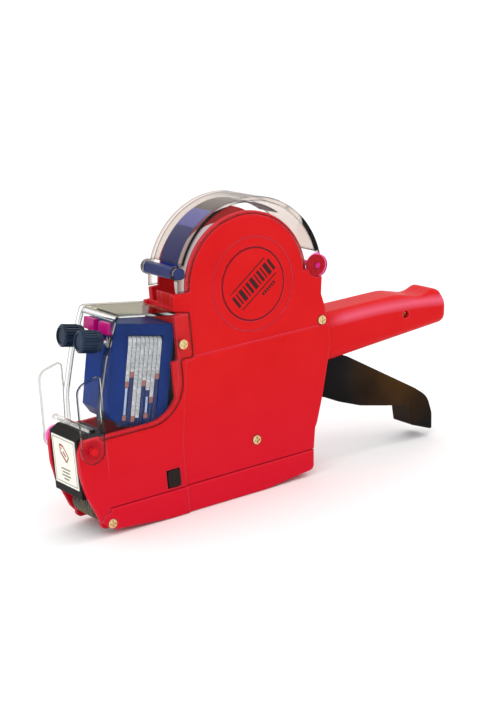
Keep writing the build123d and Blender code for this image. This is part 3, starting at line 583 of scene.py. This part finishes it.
def badge_mark(side, name):
    """Generic badge: a ring, two slanted lines, a row of plain bars between them and a few ticks."""
    shape = Shape()
    y, depth = side * BADGE_FACE_Y, side * BADGE_MARK_DEPTH
    slant = math.radians(BADGE_SLANT if side < 0 else 180.0 - BADGE_SLANT)
    c, s = math.cos(slant), math.sin(slant)

    def bar(along, across, length, width):
        """Raised bar, placed along and across a slanted line through the centre."""
        half, reach = width / 2, length / 2
        outline = []
        for a, b in ((-reach, -half), (reach, -half), (reach, half), (-reach, half)):
            p, q = along + a, across + b
            outline.append((BADGE_CENTRE[0] + p * c - q * s, BADGE_CENTRE[1] + p * s + q * c))
        shape.plate(outline, y, y + depth)

    shape.ring_line(BADGE_CENTRE, BADGE_RING_R, BADGE_RING_WIDTH, y, depth)
    for across in (BADGE_LINE_OFF, -BADGE_LINE_OFF):
        bar(0.0, across, *BADGE_LINE)
    along = CODE_START
    for width in CODE_BARS:
        bar(along + width / 2, 0.0, width, CODE_HEIGHT)
        along += width + CODE_GAP
    for index in range(TICKS):
        bar(TICK_START + index * TICK_STEP, TICK_OFF, *TICK_SIZE)
    shape.done(name, "housing", ["badge_ink"])


def face_ring(side, name):
    """Faint moulded ring round the badge."""
    shape = Shape()
    shape.ring_line(BADGE_CENTRE, FACE_RING_R, FACE_RING_WIDTH, side * FACE_RING_Y, side * FACE_RING_DEPTH)
    shape.done(name, "housing", ["red_plastic"], (), "red_plastic")


# ------------------------------------------------------------------ nose label
LABEL_X = -119.2
LABEL_DEPTH = 0.05
LABEL_LOW, LABEL_HIGH, LABEL_HALF = 27.2, 50.2, 10.8
LABEL_BORDER = 0.35
OLIVE, GOLD, RUST = range(3)
# Outline of the price tag and two strokes inside it, as places (y, z).
TAG = [(-4.4, 41.6), (-1.8, 38.6), (3.6, 43.0), (4.2, 47.0), (0.6, 46.6)]
TAG_WIDTH = 1.0
TAG_STROKES = [((-1.6, 41.4), (1.2, 43.8), RUST), ((2.2, 44.9), (3.0, 45.6), GOLD)]
TAG_STROKE_WIDTH = 0.9
LINE_REACHES = (4.6, 3.6, 4.4, 2.6)    # half lengths of the lines below the tag
LINE_TOP, LINE_STEP, LINE_WIDTH = 34.6, 1.75, 0.75


def nose_label():
    """Plain printed mark on the white plate: a border, a tilted price tag and a block of short lines."""
    shape = Shape()

    def stripe(start, end, width, material):
        along = (Vector(end) - Vector(start)).normalized()
        side = Vector((-along[1], along[0])) * width / 2
        corners = [Vector(start) + side, Vector(end) + side, Vector(end) - side, Vector(start) - side]
        shape.loft([[(x, y, z) for y, z in corners] for x in (LABEL_X - LABEL_DEPTH, LABEL_X)],
                   material, False)

    for y in (-LABEL_HALF, LABEL_HALF):
        stripe((y, LABEL_LOW), (y, LABEL_HIGH), LABEL_BORDER, OLIVE)
    for z in (LABEL_LOW, LABEL_HIGH):
        stripe((-LABEL_HALF, z), (LABEL_HALF, z), LABEL_BORDER, OLIVE)
    for index, (start, end) in enumerate(zip(TAG, TAG[1:] + TAG[:1])):
        stripe(start, end, TAG_WIDTH, RUST if index % 2 else GOLD)
    for start, end, material in TAG_STROKES:
        stripe(start, end, TAG_STROKE_WIDTH, material)
    for row, reach in enumerate(LINE_REACHES):
        z = LINE_TOP - row * LINE_STEP
        stripe((-reach, z), (reach, z), LINE_WIDTH, OLIVE)
    shape.done("nose_label", "housing", ["olive_ink", "gold_ink", "rust_ink"])


# ------------------------------------------------------------------ applicator roller
ROLLER_HALF = 10.6
ROLLER_BORE_R, ROLLER_END_R, ROLLER_SHOULDER_R = 1.9, 6.4, 6.9
ROLLER_SHOULDER = 0.4       # width of the chamfer at each end
RIBS = 9
RIB_START, RIB_PITCH = -9.6, 2.2
RIB_R, GROOVE_R = 7.15, 6.5
RIB_STEPS = ((RIB_R, -0.2), (RIB_R, 1.1), (GROOVE_R, 1.3), (GROOVE_R, 1.7))   # radius, y from the rib
NICK = 0.22
NICK_EVERY = 3
ROLLER_COUNT = 60


def applicator():
    """Soft roller of ribs and grooves, each rib nicked round its rim."""
    shape = Shape()
    shoulder_y = ROLLER_HALF - ROLLER_SHOULDER
    end = [(ROLLER_BORE_R, ROLLER_HALF), (ROLLER_END_R, ROLLER_HALF), (ROLLER_SHOULDER_R, shoulder_y)]
    profile = [(radius, -y) for radius, y in end]
    for index in range(RIBS):
        profile += [(radius, RIB_START + index * RIB_PITCH + y) for radius, y in RIB_STEPS]
    profile += end[::-1]
    rings = []
    for radius, y in profile:
        ring = []
        for i in range(ROLLER_COUNT):
            nicked = radius == RIB_R and i % NICK_EVERY == 0
            r = radius - (NICK if nicked else 0.0)
            a = 2 * math.pi * i / ROLLER_COUNT
            ring.append((APPLICATOR_CENTRE[0] + r * math.cos(a), min(ROLLER_HALF, max(-ROLLER_HALF, y)),
                         APPLICATOR_CENTRE[1] + r * math.sin(a)))
        rings.append(ring)
    shape.loft(rings, caps=False)
    shape.done("applicator_ribs", "applicator_roller", ["roller_rubber"], ("applicator_roller",),
               "black_rubber")


# ------------------------------------------------------------------ leaf spring
LEAF_HALF, LEAF_THICK = 8.4, 0.45
LEAF_R, LEAF_RISE = 38.9, 1.5
LEAF_ANGLE, LEAF_SWEEP = 163.0, 112.0   # degrees from +X towards +Z where it starts, and how far it runs
LEAF_RISE_RATE = 1.25                   # the rise is complete after 1 / 1.25 of the sweep
LEAF_STEPS = 40
LEAF_CHANGE = 19                        # the step where the blue gives way to the grey of painted shade


def leaf():
    """Springy strip from the bar, rising towards the top of the arch and ending past it."""
    shape = Shape()
    # The leaf's upper end is grey, painted shade where it lies under the top of the arch.
    for first, last, material in ((0, LEAF_CHANGE, 0), (LEAF_CHANGE, LEAF_STEPS, 1)):
        rings = []
        for i in range(first, last + 1):
            along = i / LEAF_STEPS
            angle = math.radians(LEAF_ANGLE - along * LEAF_SWEEP)
            risen = math.sin(math.pi * min(1.0, along * LEAF_RISE_RATE) / 2.0)
            inner = LEAF_R + LEAF_RISE * risen
            outer = inner + LEAF_THICK
            rings.append([(ROLL_CENTRE[0] + r * math.cos(angle), y, ROLL_CENTRE[1] + r * math.sin(angle))
                          for r, y in ((inner, -LEAF_HALF), (inner, LEAF_HALF),
                                       (outer, LEAF_HALF), (outer, -LEAF_HALF))])
        shape.loft(rings, material, False)
    shape.done("leaf_spring", "roll_cover", ["leaf", "leaf_end_shade"], ("tension_band",), "blue_plastic")


# ------------------------------------------------------------------ camera and studio
CAMERA_PLACE = (-0.5029, -0.7843, 0.3175)   # metres
CAMERA_TURN = (32.07, 15.10, -4.93)         # degrees clockwise from +Y, down, and rolled
LENS, SENSOR_WIDTH = 91.37, 36.0
CLIP_START = 0.05
FLOOR_HALF = 12.0
FLOOR_Z = -0.0002
# The world's light by the height of its direction: from the first height to the second.
WORLD_HEIGHTS = (0.05, 0.7)
WORLD_LIGHT = (0.55, 1.28)
# Each lamp's place and target in metres, its size in metres and its power in watts.
LAMPS = {
    "key": ((-0.55, -0.9, 1.1), (0.0, 0.0, 0.07), 0.5, 1.6),
    "shoulder": ((0.71, -0.26, 0.98), (0.06, 0.0, 0.1), 0.3, 1.2),
    "front": ((-1.1, -0.35, 0.5), (-0.1, 0.0, 0.05), 0.3, 0.7),
}


def show(name, data):
    """Object for a camera, a lamp or a mesh, linked to the scene."""
    thing = bpy.data.objects.new(name, data)
    bpy.context.scene.collection.objects.link(thing)
    return thing


def aim_camera():
    azimuth, elevation, roll = (math.radians(angle) for angle in CAMERA_TURN)
    forward = Vector((math.sin(azimuth) * math.cos(elevation), math.cos(azimuth) * math.cos(elevation),
                      -math.sin(elevation)))
    right = Vector((math.cos(azimuth), -math.sin(azimuth), 0.0))
    up = right.cross(forward)
    tilted_right = math.cos(roll) * right + math.sin(roll) * up
    tilted_up = math.cos(roll) * up - math.sin(roll) * right
    data = bpy.data.cameras.new("studio_camera")
    data.lens = LENS
    data.sensor_width = SENSOR_WIDTH
    data.clip_start = CLIP_START
    camera = show("studio_camera", data)
    turn = Matrix((tilted_right, tilted_up, -forward)).transposed().to_4x4()
    camera.matrix_world = Matrix.Translation(CAMERA_PLACE) @ turn
    bpy.context.scene.camera = camera


def area_light(name, place, target, size, power):
    data = bpy.data.lights.new(name, "AREA")
    data.size = size
    data.energy = power
    light = show(name, data)
    light.location = place
    light.rotation_euler = (Vector(target) - Vector(place)).to_track_quat("-Z", "Y").to_euler()


def lay_floor():
    """White floor that runs out of sight on every side."""
    mesh = bpy.data.meshes.new("floor")
    corners = [(x * FLOOR_HALF, y * FLOOR_HALF, FLOOR_Z) for x, y in ((-1, -1), (1, -1), (1, 1), (-1, 1))]
    mesh.from_pydata(corners, [], [(0, 1, 2, 3)])
    floor = show("floor", mesh)
    t = Tree("floor")
    white = t.mix(t.noise(6.0), (0.96, 0.96, 0.96), (0.98, 0.98, 0.98))
    mesh.materials.append(t.done(Base_Color=white, Roughness=0.9))


def light_world():
    """White surroundings, brightest overhead and dimmer towards the horizon."""
    world = bpy.data.worlds.new("studio")
    bpy.context.scene.world = world
    world.use_nodes = True
    nodes, links = world.node_tree.nodes, world.node_tree.links
    direction = nodes.new("ShaderNodeSeparateXYZ")
    links.new(nodes.new("ShaderNodeTexCoord").outputs["Generated"], direction.inputs[0])
    light = nodes.new("ShaderNodeMapRange")
    for key, value in zip(("From Min", "From Max", "To Min", "To Max"), WORLD_HEIGHTS + WORLD_LIGHT):
        light.inputs[key].default_value = value
    links.new(direction.outputs[2], light.inputs["Value"])
    links.new(light.outputs[0], nodes["Background"].inputs[1])
    nodes["Background"].inputs[0].default_value = (1.0, 1.0, 1.0, 1.0)


def studio():
    lay_floor()
    light_world()
    for name, settings in LAMPS.items():
        area_light(name, *settings)
    bpy.context.scene.view_settings.view_transform = "Standard"


aim_camera()
studio()
number_bands(-1, "number_bands_near", "type_bands_near")
number_bands(1, "number_bands_far", "type_bands_far")
badge_mark(-1, "badge_mark_near")
badge_mark(1, "badge_mark_far")
face_ring(-1, "face_ring_near")
face_ring(1, "face_ring_far")
nose_label()
applicator()
leaf()
